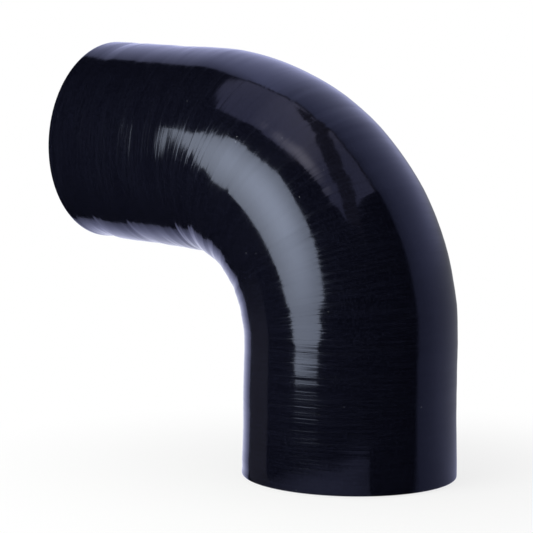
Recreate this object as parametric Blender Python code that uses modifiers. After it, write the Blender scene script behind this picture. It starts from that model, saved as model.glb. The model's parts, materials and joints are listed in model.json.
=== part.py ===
"""Silicone elbow hose: one moulded tube that turns a corner, with a straight socket at each end.

The hose stands on its lower end at z = 0, and its side leg runs towards -X. The origin is on the
ground, under the middle of the hose's box. Lengths are in metres and angles in degrees.
"""

import math

import bmesh
import bpy
from mathutils import Vector

# Driving dimensions
BORE = 0.063  # inside diameter, which fits over a pipe of this size
WALL = 0.0045  # four plies of coated fabric, cured into one wall
BEND_RADIUS = 0.063  # to the middle of the bore
BEND_ANGLE = 85.0  # how far the run turns
LOWER_SOCKET = 0.046  # straight length that takes a pipe and its clamp
SIDE_SOCKET = 0.046
EDGE_ROUND = 0.0004  # on the trimmed edges of both ends

# Fineness of the faceted solid
SIDES = 64
DEGREES_PER_STEP = 4.25
EDGE_SEGMENTS = 2
EDGE_ANGLE = 60.0  # edges sharper than this are the trimmed ones

# The finish of the cured silicone
BLACK = (0.006, 0.007, 0.012, 1.0)
ROUGHNESS = 0.12


def wall_section(bm):
    """The cut face of the lower end: a flat ring between the bore and the outside, on z = 0."""
    for radius in (BORE / 2, BORE / 2 + WALL):
        bmesh.ops.create_circle(bm, segments=SIDES, radius=radius)
    bmesh.ops.bridge_loops(bm, edges=bm.edges[:])
    return bm.verts[:] + bm.edges[:] + bm.faces[:]


def pull_straight(bm, section, direction, length):
    """Draws the section along a straight line and returns the section at its far end."""
    moved = bmesh.ops.extrude_face_region(bm, geom=section)["geom"]
    corners = [piece for piece in moved if isinstance(piece, bmesh.types.BMVert)]
    bmesh.ops.translate(bm, verts=corners, vec=direction * length)
    return moved


def turn_corner(bm, section):
    """Spins the section round the bend's centre, which lies towards -X at the lower socket's top."""
    return bmesh.ops.spin(
        bm,
        geom=section,
        cent=(-BEND_RADIUS, 0.0, LOWER_SOCKET),
        axis=(0.0, -1.0, 0.0),
        angle=math.radians(BEND_ANGLE),
        steps=math.ceil(BEND_ANGLE / DEGREES_PER_STEP),
    )["geom_last"]


def hose_mesh():
    """The whole wall in one sweep of its section: lower socket, bend, side socket."""
    turn = math.radians(BEND_ANGLE)
    up = Vector((0.0, 0.0, 1.0))
    side = Vector((-math.sin(turn), 0.0, math.cos(turn)))

    bm = bmesh.new()
    section = wall_section(bm)
    section = pull_straight(bm, section, up, LOWER_SOCKET)
    section = turn_corner(bm, section)
    pull_straight(bm, section, side, SIDE_SOCKET)
    bmesh.ops.recalc_face_normals(bm, faces=bm.faces[:])

    mesh = bpy.data.meshes.new("elbow_hose")
    bm.to_mesh(mesh)
    bm.free()
    mesh.shade_smooth()
    mesh.set_sharp_from_angle(angle=math.radians(EDGE_ANGLE))
    return mesh


def round_trimmed_edges(hose):
    """Takes the sharpness off the four circles where the wall was cut to length."""
    bevel = hose.modifiers.new("trimmed edges", "BEVEL")
    bevel.limit_method = "ANGLE"
    bevel.angle_limit = math.radians(EDGE_ANGLE)
    bevel.width = EDGE_ROUND
    bevel.segments = EDGE_SEGMENTS


def cured_silicone():
    """Glossy black rubber with a trace of blue."""
    material = bpy.data.materials.new("cured_silicone")
    material.diffuse_color = BLACK
    material.use_nodes = True
    shader = material.node_tree.nodes["Principled BSDF"]
    shader.inputs["Base Color"].default_value = BLACK
    shader.inputs["Roughness"].default_value = ROUGHNESS
    shader.inputs["Metallic"].default_value = 0.0
    return material


def main():
    for old in list(bpy.data.objects):
        bpy.data.objects.remove(old)

    collection = bpy.data.collections.new("silicone_elbow_hose")
    bpy.context.scene.collection.children.link(collection)

    mesh = hose_mesh()
    hose = bpy.data.objects.new("elbow_hose", mesh)
    hose.data.materials.append(cured_silicone())
    round_trimmed_edges(hose)

    reach = [corner.co.x for corner in mesh.vertices]
    hose.location.x = -(min(reach) + max(reach)) / 2
    collection.objects.link(hose)


main()
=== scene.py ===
# %% [markdown]
# # A silicone elbow hose
# This lesson dresses one moulded part: an elbow of glossy black silicone hose, 63 mm in the bore,
# that turns a duct through a corner. It is a single piece, so there is one thing to model, and all
# of its character is in the skin: the faint rings that the curing tape leaves, and the gloss.
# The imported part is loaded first, as a fixed frame that gives every size.

import json
import math

import bmesh
import bpy
from mathutils import Matrix, Vector, noise


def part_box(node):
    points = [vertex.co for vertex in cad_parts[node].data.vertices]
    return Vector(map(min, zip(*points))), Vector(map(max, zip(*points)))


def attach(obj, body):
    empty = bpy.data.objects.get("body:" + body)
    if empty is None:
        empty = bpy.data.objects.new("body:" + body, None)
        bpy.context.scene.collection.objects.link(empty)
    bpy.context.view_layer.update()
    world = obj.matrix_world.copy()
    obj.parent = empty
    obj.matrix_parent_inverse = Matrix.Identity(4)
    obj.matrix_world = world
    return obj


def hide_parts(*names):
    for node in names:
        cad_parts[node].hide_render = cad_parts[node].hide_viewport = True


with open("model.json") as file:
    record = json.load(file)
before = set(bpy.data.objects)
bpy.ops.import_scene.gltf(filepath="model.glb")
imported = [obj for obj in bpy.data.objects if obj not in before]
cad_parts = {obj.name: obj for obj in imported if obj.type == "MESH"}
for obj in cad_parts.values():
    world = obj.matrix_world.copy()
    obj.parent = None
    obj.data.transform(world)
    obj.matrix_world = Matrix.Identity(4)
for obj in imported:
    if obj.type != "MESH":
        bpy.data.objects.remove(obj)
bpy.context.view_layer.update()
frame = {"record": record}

# %% [markdown]
# ## What the frame knows
# The hose stands on its lower end and its side leg runs towards -X. Its two end faces are stated as
# mounts, each with a point on the middle of the cut wall and the way the end faces. Those two, the
# box and the bend's radius give every other size, so nothing is measured twice.

# %% Sizes read from the frame
BEND_RADIUS = 0.063  # to the middle of the bore: the same as the bore, as on elbows of this kind

mounts = {mount["name"]: mount for mount in frame["record"]["mounts"]}
lower_face = Vector(mounts["lower_end"]["pos_m"])
side_face = Vector(mounts["side_end"]["pos_m"])
side_way = Vector(mounts["side_end"]["axis"]).normalized()

low, high = (Vector(corner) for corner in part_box("elbow_hose"))
OUTER_RADIUS = (high.y - low.y) / 2
WALL = 2 * (OUTER_RADIUS - lower_face.y)
BORE_RADIUS = OUTER_RADIUS - WALL

TURN = math.acos(side_way.z)  # how far the run turns, from straight up to the side leg's way
leg = side_face.z / (1 + side_way.z)  # from an end face to where the two axes cross
SOCKET = leg - BEND_RADIUS * math.tan(TURN / 2)
BEND_LENGTH = BEND_RADIUS * TURN
LENGTH = SOCKET + BEND_LENGTH + SOCKET

lower_axis = Vector((lower_face.x, 0.0, 0.0))
bend_centre = lower_axis + Vector((-BEND_RADIUS, 0.0, SOCKET))
print(f"outer radius {OUTER_RADIUS:.4f}, wall {WALL:.4f}, turn {math.degrees(TURN):.1f} degrees")
print(f"socket {SOCKET:.4f}, bend {BEND_LENGTH:.4f}, whole run {LENGTH:.4f} m")

# %% [markdown]
# ## The camera
# The view is nearly level and from the hose's front right, so that the side leg runs off to the
# left and a little away. It is a long lens from half a metre, which keeps some perspective: the
# near leg looks wider than the far one. The camera is placed by its azimuth and elevation round
# the point it looks at, and then leans a fraction of a degree. The view transform is Standard, so
# that a white backdrop of strength 1 is pure white.

# %% Camera
LOOK_AT = Vector((-0.0019, 0.0040, 0.0679))
VIEW_AZIMUTH = math.radians(34.84)
VIEW_ELEVATION = math.radians(3.56)
VIEW_DISTANCE = 0.5029
VIEW_LEAN = math.radians(0.42)
LENS = 96.9  # in millimetres
SENSOR_WIDTH = 36.0

away = Vector((
    math.sin(VIEW_AZIMUTH) * math.cos(VIEW_ELEVATION),
    -math.cos(VIEW_AZIMUTH) * math.cos(VIEW_ELEVATION),
    math.sin(VIEW_ELEVATION),
))
lens = bpy.data.cameras.new("camera")
lens.lens = LENS
lens.sensor_width = SENSOR_WIDTH
camera = bpy.data.objects.new("camera", lens)
camera.location = LOOK_AT + away * VIEW_DISTANCE
turned = away.to_track_quat("Z", "Y").to_matrix() @ Matrix.Rotation(VIEW_LEAN, 3, "Z")
camera.rotation_euler = turned.to_euler()
bpy.context.scene.collection.objects.link(camera)
bpy.context.scene.camera = camera
bpy.context.scene.view_settings.view_transform = "Standard"
print("camera at", [round(c, 4) for c in camera.location])

# %% [markdown]
# ## The run of the hose
# Everything on a bent tube is easier to say on a straight one. This helper takes a point of the
# wall and gives how far along the run it lies, and which way is outward there. With that, a ring
# that the curing tape leaves is the same formula in the sockets and in the bend, and the finish
# can follow the hose round the corner. As a test, the side end's face has to lie at the run's end.

# %% Along and across
def along_and_across(point):
    """Distance along the run in metres, and the way to the point from the middle of the bore."""
    if point.z <= SOCKET and point.x > bend_centre.x:
        return point.z, Vector((point.x - lower_axis.x, point.y, 0.0))
    from_centre = point - bend_centre
    turned_so_far = math.atan2(from_centre.z, from_centre.x)
    if turned_so_far <= TURN and from_centre.x > 0.0:
        middle = Vector((math.cos(turned_so_far), 0.0, math.sin(turned_so_far))) * BEND_RADIUS
        return SOCKET + BEND_RADIUS * turned_so_far, from_centre - middle
    side_start = Vector((math.cos(TURN), 0.0, math.sin(TURN))) * BEND_RADIUS
    past_bend = (from_centre - side_start).dot(side_way)
    return SOCKET + BEND_LENGTH + past_bend, from_centre - side_start - side_way * past_bend


def outer_side(along):
    """The direction, at that distance along the run, that points away from the bend's centre."""
    turned_so_far = min(max((along - SOCKET) / BEND_RADIUS, 0.0), TURN)
    return Vector((math.cos(turned_so_far), 0.0, math.sin(turned_so_far)))


print(f"the side end's face lies {along_and_across(side_face)[0]:.4f} m along the run")

# %% [markdown]
# ## The wall's section
# The real hose is plies of coated fabric wound on a bent mandrel and cured into one wall. It could
# be a curve with a round bevel, but its inside and its cut ends would then need work of their own.
# Here the section, a flat ring between two circles, is made once and swept along the run. Spin does
# all of it: with an angle it turns the corner, and with a step and no angle it draws a straight.

# %% A section to sweep
AROUND = 96  # corners on a circle


def wall_section(bm):
    """The flat ring between the bore and the outside, at the lower end."""
    for radius in (BORE_RADIUS, OUTER_RADIUS):
        bmesh.ops.create_circle(bm, segments=AROUND, radius=radius)
    bmesh.ops.bridge_loops(bm, edges=bm.edges[:])
    bmesh.ops.translate(bm, verts=bm.verts[:], vec=lower_axis)
    return bm.verts[:] + bm.edges[:] + bm.faces[:]


def draw_on(bm, section, step, count):
    """Draws the section straight on by count steps and returns the last one."""
    return bmesh.ops.spin(bm, geom=section, dvec=step, angle=0.0, steps=count)["geom_last"]


wall = bmesh.new()
section = wall_section(wall)
print("section:", len(wall.verts), "corners and", len(wall.faces), "faces")

# %% [markdown]
# ## The sweep
# The section goes up the lower socket, round the bend and out along the side socket. The sweep is
# coarse, because the outside is cut finely afterwards. Each end starts and stops with a short step
# of its own, which leaves room for rounding the trimmed edges. The volume tells whether the wall is
# whole and turned the right way: it is the ring's area times the run, less a little for the chords.

# %% The sweep
SWEEP_STEP = 0.005
TRIM_STEP = 0.0009

up = Vector((0.0, 0.0, 1.0))
socket_steps = math.ceil(SOCKET / SWEEP_STEP)
bend_steps = math.ceil(BEND_LENGTH / SWEEP_STEP)
section = draw_on(wall, section, up * TRIM_STEP, 1)
section = draw_on(wall, section, up * (SOCKET - TRIM_STEP) / socket_steps, socket_steps)
section = bmesh.ops.spin(
    wall, geom=section, cent=bend_centre, axis=(0.0, -1.0, 0.0), angle=TURN, steps=bend_steps
)["geom_last"]
section = draw_on(wall, section, side_way * (SOCKET - TRIM_STEP) / socket_steps, socket_steps)
draw_on(wall, section, side_way * TRIM_STEP, 1)
bmesh.ops.recalc_face_normals(wall, faces=wall.faces[:])

ring_area = math.pi * (OUTER_RADIUS ** 2 - BORE_RADIUS ** 2)
print(f"volume {wall.calc_volume() * 1e6:.1f} ml, of a round wall {ring_area * LENGTH * 1e6:.1f} ml")

# %% [markdown]
# ## The trimmed ends
# Each end is cut square with a knife after curing. The edges of the cut are rounded by less than
# half a millimetre, because a real edge always catches a thin line of light. They are the only
# places where the sweep turns sharply, so the bevel finds them by the angle between their faces.

# %% Rounded edges
EDGE_ROUND = 0.0004
EDGE_SEGMENTS = 3
SHARP = math.radians(60.0)

bmesh.ops.bevel(
    wall, geom=[edge for edge in wall.edges if edge.calc_face_angle() > SHARP], offset=EDGE_ROUND,
    offset_type="OFFSET", affect="EDGES", segments=EDGE_SEGMENTS, profile=0.5, material=-1,
)
open_edges = [edge for edge in wall.edges if len(edge.link_faces) != 2]
print("faces", len(wall.faces), "open edges", len(open_edges))

# %% [markdown]
# ## Fine rings for the skin
# The marks on the outside are a millimetre or two apart, so its faces are cut across the run into
# rings a quarter of a millimetre wide. Subdividing only the edges that run along the hose does it
# in one go, and leaves the bore as coarse as it was.

# %% Subdivide the outside
RING_STEP = 0.00025
SKIN_LIMIT = OUTER_RADIUS - WALL / 2  # what lies farther out than this is outside, not bore


def is_outside_and_lengthwise(edge):
    """True for the long edges of the outside, and not for those beside the trimmed ends."""
    (start, across), (end, across_end) = (along_and_across(corner.co) for corner in edge.verts)
    on_outside = min(across.length, across_end.length) > SKIN_LIMIT
    return on_outside and abs(end - start) > 2 * TRIM_STEP


lengthwise = [edge for edge in wall.edges if is_outside_and_lengthwise(edge)]
bmesh.ops.subdivide_edges(
    wall, edges=lengthwise, cuts=round(SWEEP_STEP / RING_STEP) - 1, use_grid_fill=True
)
print("long edges cut", len(lengthwise), "faces in all", len(wall.faces))

# %% [markdown]
# ## Bands of the curing tape
# For the cure the hose is wrapped tightly in nylon tape, which is pulled off afterwards. Each turn
# presses its own flat band into the rubber, so the skin is a row of bands that tilt a degree or so
# one way or the other and meet in faint creases. A sum of sines would look like a spring, and plain
# noise like cloth. So each crease gets a height of its own from noise, which changes slowly round
# the hose, and a band is the straight line from one crease to the next.

# %% Creases and bands
CREASE_STEP = 2.37  # in the noise, from one crease to the next
UNEVEN = 0.45  # of a band, by which creases come early or late
UNEVEN_ROUND = 0.4  # how fast that changes round the hose
UNEVEN_BANDS = 2.3  # and over how many bands along it
TAPE_LEAN = 0.035  # of a turn of tape against the square section


def crease_level(number, cosine, sine, change, seed):
    """How high a crease stands, from -1 to 1, changing slowly round the hose."""
    return noise.noise(Vector((change * cosine + seed, change * sine, number * CREASE_STEP)))


def bands(along, cosine, sine, pitch, change, seed):
    """Height of a row of flat bands, the way past the last crease, and that crease's number."""
    lean = OUTER_RADIUS * TAPE_LEAN * (cosine * math.cos(seed) + sine * math.sin(seed))
    count = (along + lean) / pitch
    early = noise.noise(Vector((seed, UNEVEN_ROUND * sine, count / UNEVEN_BANDS)))
    count += UNEVEN * early
    number = math.floor(count)
    part = count - number
    before = crease_level(number, cosine, sine, change, seed)
    after = crease_level(number + 1, cosine, sine, change, seed)
    return before + (after - before) * part, part * pitch, number


print("a turn of tape leans", round(math.degrees(math.atan(TAPE_LEAN)), 1), "degrees")

# %% [markdown]
# ## Two rows of marks
# The wide row is the turns of tape, about five millimetres apart. The narrow one comes from the
# folds of the tape, and each of its creases has a small lip, where one edge lay over the last. The
# tape grips more towards the side end, marks the outer and the inner side of the bend more than
# its flanks, and bunches on the inner side. The seeds were tried until the bands broke up the
# highlight where they do in the photograph.

# %% Marks of the tape
BAND_PITCH = 0.0053
BAND_HEIGHT = 0.00022
BAND_CHANGE = 0.8  # how much a band's level changes on its way round the hose
BAND_SEED = 40.63
FOLD_PITCH = 0.0016
FOLD_HEIGHT = 0.000030
FOLD_CHANGE = 2.2
FOLD_SEED = 55.54
LIP_HEIGHT = 0.000005
LIP_WIDTH = 0.0014
LIP_SHARE = 0.6  # of the full height, of a usual lip
LIP_CHANGE = 2.0  # by which the lips differ
LIP_SEED = 5.0
LOWER_GRIP = 0.60
MORE_GRIP = 0.51  # from the lower end to the side end
GRIP_PATCH = 0.2
PATCH_LENGTH = 0.03
SIDES_GRIP = 0.8  # on the outer and the inner side of the bend
BUNCHED = 1.4  # on its inner side


def grip(along, cosine, sine):
    """How strongly the tape marks the skin."""
    patch = noise.noise(Vector((cosine, sine, along / PATCH_LENGTH)))
    strength = LOWER_GRIP + MORE_GRIP * along / LENGTH + GRIP_PATCH * patch
    return strength * (1.0 + SIDES_GRIP * cosine ** 2 + BUNCHED * min(cosine, 0.0) ** 2)


def tape_marks(along, cosine, sine):
    """Height of both rows of marks in metres."""
    wide, _, _ = bands(along, cosine, sine, BAND_PITCH, BAND_CHANGE, BAND_SEED)
    narrow, past, number = bands(along, cosine, sine, FOLD_PITCH, FOLD_CHANGE, FOLD_SEED)
    usual = LIP_SHARE + LIP_CHANGE * crease_level(number, cosine, sine, FOLD_CHANGE, LIP_SEED)
    lip = max(usual, 0.0) * max(1.0 - past / LIP_WIDTH, 0.0)
    rows = BAND_HEIGHT * wide + FOLD_HEIGHT * narrow
    return rows * grip(along, cosine, sine) - LIP_HEIGHT * lip


front_mark = tape_marks(SOCKET, 0.0, -1.0)
print(f"in front, where the bend starts, the marks are {front_mark * 1000:.3f} mm high")

# %% [markdown]
# ## One short lap
# Low on the lower leg the end of a turn of tape left a single short line. It is too sharp and too
# lonely to come out of the rows, so it is a small ridge of its own, on the straightened hose.

# %% The lap
LAP_PLACE = Vector((0.003, -0.036, 0.0117))  # towards the outer side, towards +Y, and along
LAP_HEIGHT = 0.000022
LAP_HALF = 0.00025  # along the hose
LAP_REACH = 0.0055  # round it


def lap(along, cosine, sine):
    """Height of the short ridge in metres."""
    place = Vector((cosine * OUTER_RADIUS, sine * OUTER_RADIUS, LAP_PLACE.z))
    along_it = max(1.0 - abs(along - LAP_PLACE.z) / LAP_HALF, 0.0)
    round_it = max(1.0 - (place - LAP_PLACE).length / LAP_REACH, 0.0)
    return LAP_HEIGHT * along_it * round_it


print(f"the lap lies {LAP_PLACE.z * 1000:.1f} mm above the lower end")

# %% [markdown]
# ## Pressed into the wall
# All of it is a few tenths of a millimetre deep, yet it is what breaks up the highlight, so it is
# in the mesh and not only in the finish. The marks lie under the plain tube, so that the hose keeps
# its size, and they fade out at the trimmed ends. The lower socket is a trace slimmer than the bend,
# which is fuller where the plies bunch. The cuts of the last step lie on the chords of the coarse
# bend, so each corner is put back on the round at the same time.

# %% Relief
SKIN_DEPTH = 0.00016  # of the skin below the plain tube
SKIN_FADE = 0.020  # over which the skin rises to the trimmed ends
SWELL = 0.00022  # the bend is this much fuller than the lower socket
SWELL_REACH = 0.018  # over which it fills out
MARK_FADE = 0.0015  # over which the marks fade out there
TRIM_LIMIT = 0.9 * TRIM_STEP  # what lies nearer to an end than this is the rounded edge


def on_tube(along, outward, radius):
    """The point at that distance along the run and that far from the middle of the bore."""
    if along <= SOCKET:
        return lower_axis + Vector((0.0, 0.0, along)) + outward * radius
    past_bend = max(along - SOCKET - BEND_LENGTH, 0.0)
    return bend_centre + outer_side(along) * BEND_RADIUS + side_way * past_bend + outward * radius


def relief(along, outward):
    """Height of the skin above the plain tube, in metres, and never above it."""
    cosine, sine = outward.dot(outer_side(along)), outward.y
    marks = tape_marks(along, cosine, sine) + lap(along, cosine, sine)
    to_end = min(along, LENGTH - along) - TRIM_STEP
    filled = min(max((along - SOCKET) / SWELL_REACH, 0.0), 1.0)
    depth = SKIN_DEPTH + SWELL * (1.0 - filled * filled * (3.0 - 2.0 * filled))
    mark_fade = min(max(to_end / MARK_FADE, 0.0), 1.0)
    skin_fade = min(max(to_end / SKIN_FADE, 0.0), 1.0)
    return min(marks * mark_fade - depth * skin_fade, 0.0)


heights = []
for corner in wall.verts:
    along, across = along_and_across(corner.co)
    if TRIM_LIMIT < along < LENGTH - TRIM_LIMIT and across.length > SKIN_LIMIT:
        outward = across.normalized()
        heights.append(relief(along, outward))
        corner.co = on_tube(along, outward, OUTER_RADIUS + heights[-1])
print(f"{len(heights)} corners, relief {min(heights) * 1000:.3f} to {max(heights) * 1000:.3f} mm")

# %% [markdown]
# ## The piece
# The mesh becomes an object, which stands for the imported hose. Its place is in its mesh, so the
# object itself stays at the origin. It rides on the only body that a part without joints has.

# %% The moulded hose
hose_mesh = bpy.data.meshes.new("moulded_hose")
wall.to_mesh(hose_mesh)
wall.free()
hose_mesh.shade_smooth()
hose = bpy.data.objects.new("moulded_hose", hose_mesh)
bpy.context.scene.collection.objects.link(hose)
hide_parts("elbow_hose")
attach(hose, "root")
print("hose", len(hose_mesh.vertices), "corners and", len(hose_mesh.polygons), "faces")

# %% [markdown]
# ## The straightened hose
# A pattern that follows a bent hose needs coordinates that do, too. Each corner keeps, as an
# attribute, the place that it would have if the hose were pulled straight: round the bore in X and
# Y, and along the run in Z. There is no seam in it, as there would be in a flat unwrapping.

# %% The straightened place of each corner
places = hose_mesh.attributes.new("straightened", "FLOAT_VECTOR", "POINT")
for corner, place in zip(hose_mesh.vertices, places.data):
    along, across = along_and_across(corner.co)
    place.vector = (across.dot(outer_side(along)), across.y, along)
print(f"straightened, it is {max(place.vector.z for place in places.data):.4f} m long")

# %% [markdown]
# ## Shorter ways to wire nodes
# The finish of the hose and the cloths of the studio are all node trees, which take many lines for
# little sums. These helpers add one node each. Whatever they are given may be a number, a colour
# or another node's socket, so that a tree reads like a formula.

# %% Node helpers
def feed(tree, socket, value):
    """Gives a socket a constant, or a link from another node's socket."""
    if isinstance(value, bpy.types.NodeSocket):
        tree.links.new(value, socket)
    else:
        socket.default_value = value


def maths(tree, operation, *values):
    """A Math node, for one operation on numbers."""
    node = tree.nodes.new("ShaderNodeMath")
    node.operation = operation
    for socket, value in zip(node.inputs, values):
        feed(tree, socket, value)
    return node.outputs[0]


def vector_maths(tree, operation, *values):
    """The same on vectors. A length or a distance comes out as a number."""
    node = tree.nodes.new("ShaderNodeVectorMath")
    node.operation = operation
    for socket, value in zip(node.inputs, values):
        feed(tree, socket, value)
    return node.outputs["Value" if operation in ("LENGTH", "DISTANCE") else "Vector"]


def between(tree, value, low, high, at_low=0.0, at_high=1.0, way="LINEAR"):
    """Leads a value that goes from low to high over to the two other numbers."""
    node = tree.nodes.new("ShaderNodeMapRange")
    node.interpolation_type = way
    names = ("Value", "From Min", "From Max", "To Min", "To Max")
    for name, given in zip(names, (value, low, high, at_low, at_high)):
        feed(tree, node.inputs[name], given)
    return node.outputs["Result"]


def blend(tree, share, first, second, kind="Float"):
    """Mixes two numbers, or two colours if kind is Color."""
    node = tree.nodes.new("ShaderNodeMix")
    node.data_type = "RGBA" if kind == "Color" else "FLOAT"
    sockets = {socket.identifier: socket for socket in (*node.inputs, *node.outputs)}
    feed(tree, sockets["Factor_Float"], share)
    feed(tree, sockets["A_" + kind], first)
    feed(tree, sockets["B_" + kind], second)
    return sockets["Result_" + kind]


def new_material(name):
    """A material and its node tree."""
    material = bpy.data.materials.new(name)
    material.use_nodes = True
    return material, material.node_tree


# %% [markdown]
# ## Lines round the hose
# Close up the skin is full of fine lines that run round the hose. Painted lines would repeat, so
# they are noise, stretched a hundred times along the rings: the straightened place is multiplied by
# one number round the hose and by a far larger one along it.

# %% Stretched noise
FINE_WAVES = (70.0, 2000.0, 2.0)  # per metre round the hose and along it, and how much detail
HAIR_WAVES = (30.0, 1600.0, 0.0)
HAIR_LEVELS = (0.56, 0.68)  # only the highest crests of that noise are hairlines
SMUDGE_WAVES = (40.0, 120.0, 3.0)
GRAIN_WAVES = (1500.0, 1500.0, 1.0)


def stretched_noise(tree, place, round_it, along_it, detail):
    """Noise on the straightened hose, with so many waves per metre each way."""
    pattern = tree.nodes.new("ShaderNodeTexNoise")
    pattern.inputs["Scale"].default_value = 1.0
    pattern.inputs["Detail"].default_value = detail
    scaled = vector_maths(tree, "MULTIPLY", place, (round_it, round_it, along_it))
    feed(tree, pattern.inputs["Vector"], scaled)
    return pattern.outputs["Fac"]


for name, waves in (("fine lines", FINE_WAVES), ("hairlines", HAIR_WAVES), ("smudges", SMUDGE_WAVES)):
    print(f"{name} every {1000.0 / waves[1]:.1f} mm, {1000.0 / waves[0]:.0f} mm long")

# %% [markdown]
# ## Haze
# The rubber is black with a trace of blue. From handling it has a thin haze, which the fine lines
# hold more of, and which is thicker in some places than in others. A second, hazy shader could be
# mixed in, but so thin a film needs only the colour, between the black and a slightly paler one.

# %% Hazy black
BLACK = (0.0020, 0.0021, 0.0050, 1.0)
HAZE = (0.0040, 0.0043, 0.0093, 1.0)
HAZE_LEVELS = (0.42, 0.72)  # of the noise, from clean to hazy
SMUDGE_LEVELS = (0.35, 0.65)
SMUDGE_SHARE = (0.6, 1.0)  # of the lines' haze, from clean places to smudged ones


def hazy_black(tree, fine, smudge, grain):
    """Black, with haze on the fine lines and in small grains between them."""
    lines = maths(
        tree, "MULTIPLY", between(tree, fine, *HAZE_LEVELS),
        between(tree, smudge, *SMUDGE_LEVELS, *SMUDGE_SHARE),
    )
    film = maths(tree, "ADD", lines, between(tree, grain, *HAZE_LEVELS))
    return blend(tree, film, BLACK, HAZE, "Color")


print("haze is", round(HAZE[0] / BLACK[0], 1), "times as pale as the black")

# %% [markdown]
# ## Dust
# A few specks of dust lie on the skin. Voronoi cells give each possible speck its own place and a
# random colour: only cells whose colour is high enough get one, and it is a dot in their middle.

# %% Dust
DUST = (0.22, 0.23, 0.25, 1.0)
DUST_CELLS = 420.0  # per metre
DUST_SHARE = (0.92, 0.94)  # cells above this have a speck
DUST_SIZE = (0.060, 0.036)  # of a cell, from the rim of a speck to its full colour


def specks(tree):
    """1 on a few scattered dots, and 0 elsewhere."""
    place = tree.nodes.new("ShaderNodeTexCoord")
    cells = tree.nodes.new("ShaderNodeTexVoronoi")
    cells.inputs["Scale"].default_value = DUST_CELLS
    feed(tree, cells.inputs["Vector"], place.outputs["Object"])
    picked = tree.nodes.new("ShaderNodeSeparateColor")
    feed(tree, picked.inputs[0], cells.outputs["Color"])
    near = between(tree, cells.outputs["Distance"], *DUST_SIZE)
    return maths(tree, "MULTIPLY", near, between(tree, picked.outputs[0], *DUST_SHARE))


print(f"specks {2000.0 * DUST_SIZE[0] / DUST_CELLS:.2f} mm across")

# %% [markdown]
# ## Gloss
# The gloss comes straight from the tape's smooth film, and is a little duller where the hose was
# handled and on the hairlines. The knife's cut and the bore never touched the film, so they are
# matt. The straightened place tells the two apart by its distance from the middle of the bore.

# %% Gloss of the skin and of the cut
GLOSS = 0.075  # roughness of the skin between its marks
WORN = 0.12
WORN_LEVELS = (0.35, 0.70)  # of the smudges, from gloss to worn
CUT = 0.36
SKIN_EDGE = (OUTER_RADIUS - 0.0009, OUTER_RADIUS - 0.0006)  # from the cut to the skin
HAIR_DULL = 0.06  # roughness that a hairline adds


def on_skin(tree, place):
    """1 on the outside, and 0 on the cut ends and in the bore."""
    flat = vector_maths(tree, "MULTIPLY", place, (1.0, 1.0, 0.0))
    return between(tree, vector_maths(tree, "LENGTH", flat), *SKIN_EDGE)


def gloss(tree, place, smudge, hair):
    """Roughness of the whole hose."""
    skin = between(tree, smudge, *WORN_LEVELS, GLOSS, WORN)
    lined = maths(tree, "MULTIPLY_ADD", hair, HAIR_DULL, skin)
    return blend(tree, on_skin(tree, place), CUT, lined)


print(f"roughness {GLOSS} to {WORN} on the skin, {CUT} on the cut")

# %% [markdown]
# ## Cured silicone
# Here the finish comes together. The skin mirrors a little more blue than red, which its specular
# tint gives. The fine lines and the hairlines are microns deep, far below what a mesh could hold,
# so they are bumps, one laid over the other.

# %% The finish of the hose
TINT = (0.66, 0.72, 1.0, 1.0)
RUBBER_IOR = 1.5
FINE_DEPTH = 0.0000025
HAIR_DEPTH = 0.000005


def pressed_in(tree, height, depth, below=None):
    """A bump of that depth in metres, laid over the one below."""
    bump = tree.nodes.new("ShaderNodeBump")
    bump.inputs["Strength"].default_value = 1.0
    bump.inputs["Distance"].default_value = depth
    feed(tree, bump.inputs["Height"], height)
    if below is not None:
        feed(tree, bump.inputs["Normal"], below)
    return bump.outputs["Normal"]


def cured_silicone():
    """The finish of the whole hose."""
    material, tree = new_material("cured_silicone")
    straight = tree.nodes.new("ShaderNodeAttribute")
    straight.attribute_name = "straightened"
    place = straight.outputs["Vector"]
    fine = stretched_noise(tree, place, *FINE_WAVES)
    hair = between(tree, stretched_noise(tree, place, *HAIR_WAVES), *HAIR_LEVELS)
    smudge = stretched_noise(tree, place, *SMUDGE_WAVES)
    grain = stretched_noise(tree, place, *GRAIN_WAVES)

    shader = tree.nodes["Principled BSDF"]
    shader.inputs["IOR"].default_value = RUBBER_IOR
    shader.inputs["Specular Tint"].default_value = TINT
    colour = blend(tree, specks(tree), hazy_black(tree, fine, smudge, grain), DUST, "Color")
    marks = pressed_in(tree, hair, HAIR_DEPTH, pressed_in(tree, fine, FINE_DEPTH))
    feed(tree, shader.inputs["Base Color"], colour)
    feed(tree, shader.inputs["Roughness"], gloss(tree, place, smudge, hair))
    feed(tree, shader.inputs["Normal"], marks)
    return material


hose_mesh.materials.append(cured_silicone())
print("finish", hose_mesh.materials[0].name, "of", len(hose_mesh.materials[0].node_tree.nodes), "nodes")

# %% [markdown]
# ## The stage
# The floor and the background are white. A black gloss mirrors whatever stands round it, so in a
# plain white room it would look grey all over. A photographer sets black cloth in front of such a
# product and a few pale cards beside it. Here the cards show only in reflections: the camera
# doesn't see them, and they light nothing and cast no shadow.

# %% Stage objects
def stage_object(name, bm, material, only_reflected=False):
    """Turns a mesh into a stage object with its material."""
    mesh = bpy.data.meshes.new(name)
    bm.to_mesh(mesh)
    bm.free()
    mesh.materials.append(material)
    thing = bpy.data.objects.new(name, mesh)
    bpy.context.scene.collection.objects.link(thing)
    if only_reflected:
        thing.visible_camera = False
        thing.visible_diffuse = False
        thing.visible_transmission = False
        thing.visible_volume_scatter = False
        thing.visible_shadow = False
    print("stage:", name)
    return thing


# %% [markdown]
# ## The world
# The world is the white beyond the floor. Seen, it has to be pure white, which is a strength of 1.
# As light on the hose that would be too much beside the lamps, so there it is weaker. Light Path
# tells the two kinds of ray apart.

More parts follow.
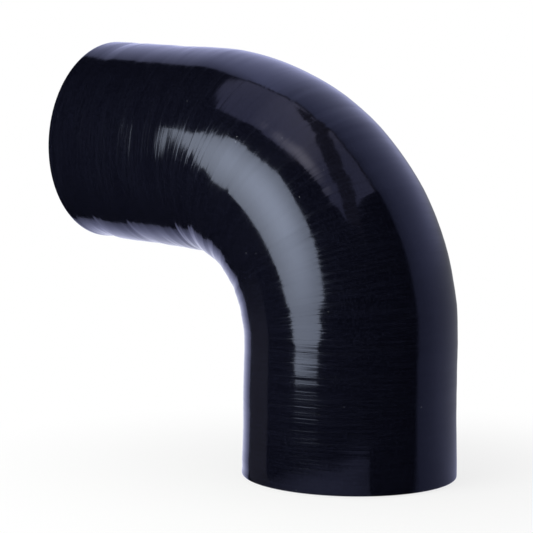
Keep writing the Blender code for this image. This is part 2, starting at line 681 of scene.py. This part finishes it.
# %% World
AMBIENT = 0.6


def seen_background(tree):
    """1 for the rays that show the background: from the camera, and mirrored or seen through."""
    path = tree.nodes.new("ShaderNodeLightPath")
    seen = maths(tree, "MAXIMUM", path.outputs["Is Camera Ray"], path.outputs["Is Glossy Ray"])
    return maths(tree, "MAXIMUM", seen, path.outputs["Is Transmission Ray"])


world = bpy.data.worlds.new("studio")
bpy.context.scene.world = world
world.use_nodes = True
background = world.node_tree.nodes["Background"]
background.inputs["Color"].default_value = (1.0, 1.0, 1.0, 1.0)
strength = between(world.node_tree, seen_background(world.node_tree), 0.0, 1.0, AMBIENT, 1.0)
feed(world.node_tree, background.inputs["Strength"], strength)
print("world: 1.0 where it is seen,", AMBIENT, "as light")

# %% [markdown]
# ## The floor
# A plain white disc catches the hose's shadow. Paint alone would render light grey against the
# white world and show a horizon, so most of what the camera sees of it is a white glow of strength
# 1. The share of paint is largest beside the hose, where it keeps the shadow, and fades to nothing
# farther out.

# %% Floor
FLOOR_PAINT = 0.85
FLOOR_RADIUS = 3.0
FLOOR_DROP = 0.0004  # below the hose's foot
FLOOR_CORNERS = 96
WHITE_NEAR = 0.78  # of the floor's look, beside the hose, that is plain white; the rest is shaded
WHITE_REACH = 0.16  # over which the floor goes over into the white background


def floor_white():
    """White paint that goes over into a white glow away from the hose."""
    material, tree = new_material("floor_white")
    paint = tree.nodes["Principled BSDF"]
    paint.inputs["Base Color"].default_value = (FLOOR_PAINT, FLOOR_PAINT, FLOOR_PAINT, 1.0)
    paint.inputs["Roughness"].default_value = 1.0
    paint.inputs["Specular IOR Level"].default_value = 0.0
    place = tree.nodes.new("ShaderNodeTexCoord")
    from_hose = vector_maths(tree, "DISTANCE", place.outputs["Object"], lower_axis)
    white = between(tree, from_hose, OUTER_RADIUS, WHITE_REACH, WHITE_NEAR, 1.0, "SMOOTHSTEP")
    mix = tree.nodes.new("ShaderNodeMixShader")
    feed(tree, mix.inputs["Fac"], maths(tree, "MULTIPLY", seen_background(tree), white))
    feed(tree, mix.inputs[1], paint.outputs["BSDF"])
    feed(tree, mix.inputs[2], tree.nodes.new("ShaderNodeEmission").outputs["Emission"])
    feed(tree, tree.nodes["Material Output"].inputs["Surface"], mix.outputs["Shader"])
    return material


floor = bmesh.new()
bmesh.ops.create_circle(floor, cap_ends=True, segments=FLOOR_CORNERS, radius=FLOOR_RADIUS)
bmesh.ops.translate(floor, verts=floor.verts[:], vec=(0.0, 0.0, -FLOOR_DROP))
stage_object("floor", floor, floor_white())

# %% [markdown]
# ## Glowing sheets
# Everything else in the studio is a sheet that glows. This is the plainest one, and the cloths of
# the lamp, the panel and the cards start from it.

# %% A plain glow
def glow_only(name, strength, colour=(1.0, 1.0, 1.0, 1.0)):
    """A plain glowing sheet: the material, its tree and the node that glows."""
    material, tree = new_material(name)
    tree.nodes.remove(tree.nodes["Principled BSDF"])
    glow = tree.nodes.new("ShaderNodeEmission")
    glow.inputs["Color"].default_value = colour
    glow.inputs["Strength"].default_value = strength
    feed(tree, tree.nodes["Material Output"].inputs["Surface"], glow.outputs["Emission"])
    return material, tree, glow


def own_place(tree):
    """Where a point lies on the sheet's own coordinates."""
    return tree.nodes.new("ShaderNodeTexCoord").outputs["Object"]


# %% [markdown]
# ## The soft box
# The long highlight down the bend is the mirror image of one soft box, an eight-sided one that
# stands close in front and to the left. It is brightest near its middle, where its lamp is, and it
# is dark behind. It is also the lamp that lights the floor and casts the shadow, so it is a mesh
# that glows for every kind of ray but the camera's, and not an area light, which has no eight sides.

# %% Soft box
SOFT_BOX_CENTRE = Vector((-0.0326, -0.3115, 0.142))
SOFT_BOX_FACING = Vector((0.492, 0.871, 0.0)).normalized()
SOFT_BOX_RADIUS = 0.159
SOFT_BOX_SIDES = 8
SOFT_BOX_STRENGTH = (8.0, 4.3)  # where it is brightest, and at its rim
SOFT_BOX_BRIGHTEST = (0.022, 0.012, 0.0)  # off its middle
SOFT_BOX_COLOUR = (0.96, 1.0, 0.94, 1.0)


def soft_box_cloth():
    """A glow that dims from its brightest place to the rim, and black behind."""
    material, tree, glow = glow_only("soft_box_cloth", 1.0, SOFT_BOX_COLOUR)
    reach = vector_maths(tree, "DISTANCE", own_place(tree), SOFT_BOX_BRIGHTEST)
    strength = between(tree, reach, 0.0, SOFT_BOX_RADIUS, *SOFT_BOX_STRENGTH, "SMOOTHSTEP")
    feed(tree, glow.inputs["Strength"], strength)
    back = tree.nodes.new("ShaderNodeEmission")
    back.inputs["Strength"].default_value = 0.0
    mix = tree.nodes.new("ShaderNodeMixShader")
    side = tree.nodes.new("ShaderNodeNewGeometry")
    feed(tree, mix.inputs["Fac"], side.outputs["Backfacing"])
    feed(tree, mix.inputs[1], glow.outputs["Emission"])
    feed(tree, mix.inputs[2], back.outputs["Emission"])
    feed(tree, tree.nodes["Material Output"].inputs["Surface"], mix.outputs["Shader"])
    return material


cloth = bmesh.new()
bmesh.ops.create_circle(cloth, cap_ends=True, segments=SOFT_BOX_SIDES, radius=SOFT_BOX_RADIUS)
flat_side_down = Matrix.Rotation(math.pi / SOFT_BOX_SIDES, 3, "Z")
bmesh.ops.rotate(cloth, verts=cloth.verts[:], matrix=flat_side_down)
soft_box = stage_object("soft_box", cloth, soft_box_cloth())
soft_box.location = SOFT_BOX_CENTRE
soft_box.rotation_euler = SOFT_BOX_FACING.to_track_quat("Z", "Y").to_euler()
soft_box.visible_camera = False

# %% [markdown]
# ## A spot of light on a sheet
# A lamp behind cloth shows as a soft spot. The spot is added to the glow below it, so a sheet can
# have as many as it needs, and its reach is a vector, so that it can be longer one way.

# %% Soft spots
def with_spot(tree, below, centre, reach, strength, colour):
    """Adds a soft spot of light to the glow below, on the sheet's own coordinates."""
    from_spot = vector_maths(tree, "SUBTRACT", own_place(tree), centre)
    in_reach = vector_maths(tree, "LENGTH", vector_maths(tree, "DIVIDE", from_spot, reach))
    spot = tree.nodes.new("ShaderNodeEmission")
    spot.inputs["Color"].default_value = colour
    fading = between(tree, in_reach, 0.0, 1.0, strength, 0.0, "SMOOTHSTEP")
    feed(tree, spot.inputs["Strength"], fading)
    both = tree.nodes.new("ShaderNodeAddShader")
    feed(tree, both.inputs[0], below)
    feed(tree, both.inputs[1], spot.outputs["Emission"])
    return both.outputs["Shader"]


# %% [markdown]
# ## The overhead panel
# The shoulder of the bend mirrors a dim window, which is a large panel of cloth high above. It is
# bright in its middle, dimmer at its ends, and has a warm spot near its front edge. The tones
# change only along the panel, so a colour ramp gives them, and the spot is laid over it.

# %% The panel's cloth
PANEL_HALF = (0.590, 0.405)  # along and across
PANEL_TONES = (  # place along the panel, and tone before the gain
    (-0.30, (0.33, 0.32, 0.45)),
    (-0.12, (0.52, 0.49, 0.62)),
    (0.12, (0.56, 0.51, 0.58)),
    (0.30, (0.27, 0.26, 0.36)),
)
PANEL_GAIN = 1.8
WARM_SPOT = ((0.05, -0.31, 0.0), (0.30, 0.15, 1.0), 1.9)  # centre, reach and level
WARM = (1.0, 0.88, 0.72, 1.0)


def ramp_of(tree, stops):
    """A colour ramp with those places, from 0 to 1, and colours."""
    ramp = tree.nodes.new("ShaderNodeValToRGB")
    elements = ramp.color_ramp.elements
    while len(elements) < len(stops):
        elements.new(0.5)
    for element, (place, colour) in zip(elements, stops):
        element.position = place
        element.color = (*colour, 1.0)
    return ramp


def panel_cloth():
    """Bright in its middle, dimmer at its ends, with a warm spot near the front edge."""
    material, tree, glow = glow_only("panel_cloth", PANEL_GAIN)
    parts = tree.nodes.new("ShaderNodeSeparateXYZ")
    feed(tree, parts.inputs[0], own_place(tree))
    half = PANEL_HALF[0]
    ramp = ramp_of(tree, [((across + half) / (2 * half), tone) for across, tone in PANEL_TONES])
    feed(tree, ramp.inputs["Fac"], between(tree, parts.outputs["X"], -half, half))
    feed(tree, glow.inputs["Color"], ramp.outputs["Color"])
    warmed = with_spot(tree, glow.outputs["Emission"], *WARM_SPOT, WARM)
    feed(tree, tree.nodes["Material Output"].inputs["Surface"], warmed)
    return material


print(f"the panel is {2 * PANEL_HALF[0]:.2f} by {2 * PANEL_HALF[1]:.2f} m")

# %% [markdown]
# ## The panel's frame
# The window is crossed by the panel's dark bar and closed by the dark edge of its frame. All three
# are strips in the same plane, so one helper makes them: a unit grid, scaled and turned in the
# plane, with the bar a centimetre in front of the cloth.

# %% Panel, bar and frame
PANEL_CENTRE = Vector((0.221, -0.270, 0.983))
PANEL_LONG = Vector((0.935, 0.064, -0.349)).normalized()
PANEL_SHORT = Vector((0.062, 0.940, 0.337)).normalized()
BAR_FROM = Vector((-0.02, 0.40, 0.0))
BAR_TO = Vector((0.63, -0.34, 0.0))
BAR_HALF = 0.112
BAR_DROP = 0.01
FRAME_HALF = 0.022
DARK_FRAME = (0.10, 0.085, 0.095, 1.0)


def panel_sheet(name, start, end, half_width, material, drop=0.0):
    """A strip in the panel's plane from one point to another, let down below it by drop."""
    bm = bmesh.new()
    bmesh.ops.create_grid(bm, x_segments=1, y_segments=1, size=1.0)
    run = end - start
    bmesh.ops.scale(bm, vec=(run.length / 2, half_width, 1.0), verts=bm.verts[:])
    turn_in_plane = Matrix.Rotation(math.atan2(run.y, run.x), 3, "Z")
    bmesh.ops.rotate(bm, matrix=turn_in_plane, verts=bm.verts[:])
    bmesh.ops.translate(bm, vec=(start + end) / 2 - Vector((0.0, 0.0, drop)), verts=bm.verts[:])
    sheet = stage_object(name, bm, material, only_reflected=True)
    basis = Matrix((PANEL_LONG, PANEL_SHORT, PANEL_LONG.cross(PANEL_SHORT))).transposed()
    sheet.matrix_world = Matrix.Translation(PANEL_CENTRE) @ basis.to_4x4()


long_way = Vector((PANEL_HALF[0], 0.0, 0.0))
back_edge = Vector((0.0, PANEL_HALF[1] + FRAME_HALF, 0.0))
frame_dark = glow_only("panel_frame", 1.0, DARK_FRAME)[0]
panel_sheet("overhead_panel", -long_way, long_way, PANEL_HALF[1], panel_cloth())
panel_sheet("panel_bar", BAR_FROM, BAR_TO, BAR_HALF, frame_dark, BAR_DROP)
panel_sheet("panel_back", back_edge - long_way, back_edge + long_way, FRAME_HALF, frame_dark)

# %% [markdown]
# ## The room's tones
# The sides of the hose mirror the room. It is black in front and well round to the left, where
# cloth hangs, and cool white or grey-blue on the right and behind, with a sharp edge where the
# cloth ends. Near the floor the tones are not the ones high up, so there is a colour ramp over the
# bearing for each, and the height blends the two.

# %% Tones round the room
COLD = (1.0, 1.05, 1.66)
PLAIN = (1.0, 1.02, 1.10)
ROOM_GAIN = 2.0  # the ramps hold the tones at half their level
LOW_TONES = (  # bearing in degrees from the camera's to the right, tone, and how cold it is
    (-180.0, 1.00, 0.2), (-165.0, 0.90, 0.5), (-154.0, 0.76, 0.8), (-146.0, 0.52, 1.0),
    (-138.5, 0.30, 1.0),
    (-138.0, 0.0, 1.0), (71.0, 0.0, 1.0), (74.0, 0.21, 1.0), (100.0, 0.30, 0.9),
    (125.0, 0.28, 0.6), (150.0, 0.23, 0.2), (165.0, 0.25, 0.1), (179.0, 0.60, 0.2),
)
HIGH_TONES = (
    (-180.0, 0.80, 1.0), (-170.0, 0.75, 1.0), (-152.0, 0.45, 1.0), (-146.5, 0.36, 1.0),
    (-146.0, 0.0, 1.0), (71.0, 0.0, 1.0), (74.0, 0.21, 1.0), (90.0, 0.36, 1.0),
    (125.0, 0.50, 1.0), (145.0, 0.60, 0.9), (170.0, 0.80, 1.0), (179.0, 0.80, 1.0),
)
LOW_TOP = 0.15  # the low tones go over into the high ones between these heights
HIGH_FOOT = 0.80


def tone_stops(tones):
    """The stops of a colour ramp over the whole turn."""
    stops = []
    for degrees, tone, chill in tones:
        colour = [plain + (cold - plain) * chill for plain, cold in zip(PLAIN, COLD)]
        stops.append(((180.0 + degrees) / 360.0, [part * tone / ROOM_GAIN for part in colour]))
    return stops


def room_tones():
    """A glow whose colour depends on the bearing round the room's foot, and on the height."""
    material, tree, glow = glow_only("room_tones", ROOM_GAIN)
    parts = tree.nodes.new("ShaderNodeSeparateXYZ")
    feed(tree, parts.inputs[0], own_place(tree))
    angle = maths(tree, "ARCTAN2", parts.outputs["Y"], parts.outputs["X"])
    round_it = between(tree, angle, -math.pi, math.pi)
    ramps = [ramp_of(tree, tone_stops(tones)) for tones in (LOW_TONES, HIGH_TONES)]
    for ramp in ramps:
        feed(tree, ramp.inputs["Fac"], round_it)
    raised = between(tree, parts.outputs["Z"], LOW_TOP, HIGH_FOOT, way="SMOOTHSTEP")
    shown = blend(tree, raised, *(ramp.outputs["Color"] for ramp in ramps), "Color")
    feed(tree, glow.inputs["Color"], shown)
    return material


dark = [degrees for degrees, tone, chill in LOW_TONES if tone == 0.0]
print(f"black from {dark[0]:.0f} to {dark[-1]:.0f} degrees off the camera's bearing")

# %% [markdown]
# ## The room
# The room is half a sphere, cut from a whole one and closed along the cut, so that the floor shows
# the same tones in the gloss as the walls above it. The edges between them meet at one point of the
# floor, at the foot of the lower leg. The room is turned to the camera's bearing, because the tones
# count theirs from there.

# %% Room card
ROOM_RADIUS = 2.0
ROOM_SEGMENTS = (96, 48)  # round it, and from pole to pole
ROOM_FOOT = Vector((0.017, -0.0300, -0.0002))  # where the edges of the floor's tones meet

room = bmesh.new()
bmesh.ops.create_uvsphere(
    room, u_segments=ROOM_SEGMENTS[0], v_segments=ROOM_SEGMENTS[1], radius=ROOM_RADIUS
)
cut = bmesh.ops.bisect_plane(
    room, geom=room.verts[:] + room.edges[:] + room.faces[:],
    plane_co=(0.0, 0.0, 0.0), plane_no=(0.0, 0.0, 1.0), clear_inner=True,
)["geom_cut"]
rim = [piece for piece in cut if isinstance(piece, bmesh.types.BMEdge)]
bmesh.ops.edgeloop_fill(room, edges=rim)
room_card = stage_object("room_card", room, room_tones(), only_reflected=True)
room_card.rotation_euler.z = math.atan2(away.y, away.x)
room_card.location = ROOM_FOOT

# %% [markdown]
# ## The low card
# The inner side of the lower leg mirrors a straight dull band, which ends where the bend starts. A
# low grey card on edge beside the leg gives it: paler at its near edge, and fading towards its top.
# A strip that lies on the floor carries the band down to the hose's rim.

# %% Low card
LOW_CARD_FROM = Vector((-0.006, -0.0480, 0.0))
LOW_CARD_TO = Vector((-0.006, -0.0247, 0.0))
LOW_CARD_TOP = 0.068
LOW_CARD_NEAR = (0.15, 0.14, 0.15, 1.0)
LOW_CARD_FAR = (0.06, 0.06, 0.08, 1.0)
STRIP_END = (Vector((0.019, -0.0325, 0.0)), Vector((0.022, -0.0385, 0.0)))  # beside the hose


def low_grey():
    """Paler at the card's near edge than at its far one, and fading towards its top."""
    material, tree, glow = glow_only("low_grey", 1.0)
    parts = tree.nodes.new("ShaderNodeSeparateXYZ")
    feed(tree, parts.inputs[0], own_place(tree))
    across = between(tree, parts.outputs["Y"], LOW_CARD_FROM.y, LOW_CARD_TO.y)
    feed(tree, glow.inputs["Color"], blend(tree, across, LOW_CARD_NEAR, LOW_CARD_FAR, "Color"))
    faded = between(tree, parts.outputs["Z"], LOW_CARD_TOP / 2, LOW_CARD_TOP, 1.0, 0.0, "SMOOTHSTEP")
    feed(tree, glow.inputs["Strength"], faded)
    return material


low_card = bmesh.new()
foot = [low_card.verts.new(LOW_CARD_FROM), low_card.verts.new(LOW_CARD_TO)]
foot_edge = low_card.edges.new(foot)
raised = bmesh.ops.extrude_edge_only(low_card, edges=[foot_edge])["geom"]
bmesh.ops.translate(
    low_card, vec=(0.0, 0.0, LOW_CARD_TOP),
    verts=[piece for piece in raised if isinstance(piece, bmesh.types.BMVert)],
)
low_card.faces.new(foot + [low_card.verts.new(corner) for corner in STRIP_END])
stage_object("low_card", low_card, low_grey(), only_reflected=True)

# %% [markdown]
# ## The pale floor
# Low on the lower leg lies a soft patch with two straight sides. It is a piece of the floor that
# gets a little light, seen in the gloss. A disc is cut along two lines for its sides, and glows in
# two soft spots that run into each other.

# %% Pale floor
PALE_FLOOR_CENTRE = Vector((0.070, -0.075, -0.0001))
PALE_FLOOR_RADIUS = 0.070
PALE_FLOOR_CORNERS = 48
PALE_FLOOR_CUTS = (  # a point on each straight side, and its way out
    (Vector((0.073, -0.037, 0.0)), Vector((0.62, 0.78, 0.0))),
    (Vector((0.012, -0.050, 0.0)), Vector((-1.0, 0.0, 0.0))),
)
PALE_SPOTS = (  # centre, reach and level
    ((0.052, -0.050, 0.0), (0.052, 0.052, 1.0), 0.48),
    ((0.098, -0.075, 0.0), (0.042, 0.042, 1.0), 0.40),
)
PALE_COLOUR = (0.76, 0.75, 1.0, 1.0)


def pale_floor_tone():
    """Black, with soft pale spots."""
    material, tree, glow = glow_only("pale_floor_tone", 0.0)
    shown = glow.outputs["Emission"]
    for spot in PALE_SPOTS:
        shown = with_spot(tree, shown, *spot, PALE_COLOUR)
    feed(tree, tree.nodes["Material Output"].inputs["Surface"], shown)
    return material


pale = bmesh.new()
bmesh.ops.create_circle(
    pale, cap_ends=True, segments=PALE_FLOOR_CORNERS, radius=PALE_FLOOR_RADIUS
)
bmesh.ops.translate(pale, verts=pale.verts[:], vec=PALE_FLOOR_CENTRE)
for point, way_out in PALE_FLOOR_CUTS:
    bmesh.ops.bisect_plane(
        pale, geom=pale.verts[:] + pale.edges[:] + pale.faces[:],
        plane_co=point, plane_no=way_out, clear_outer=True,
    )
stage_object("pale_floor", pale, pale_floor_tone(), only_reflected=True)
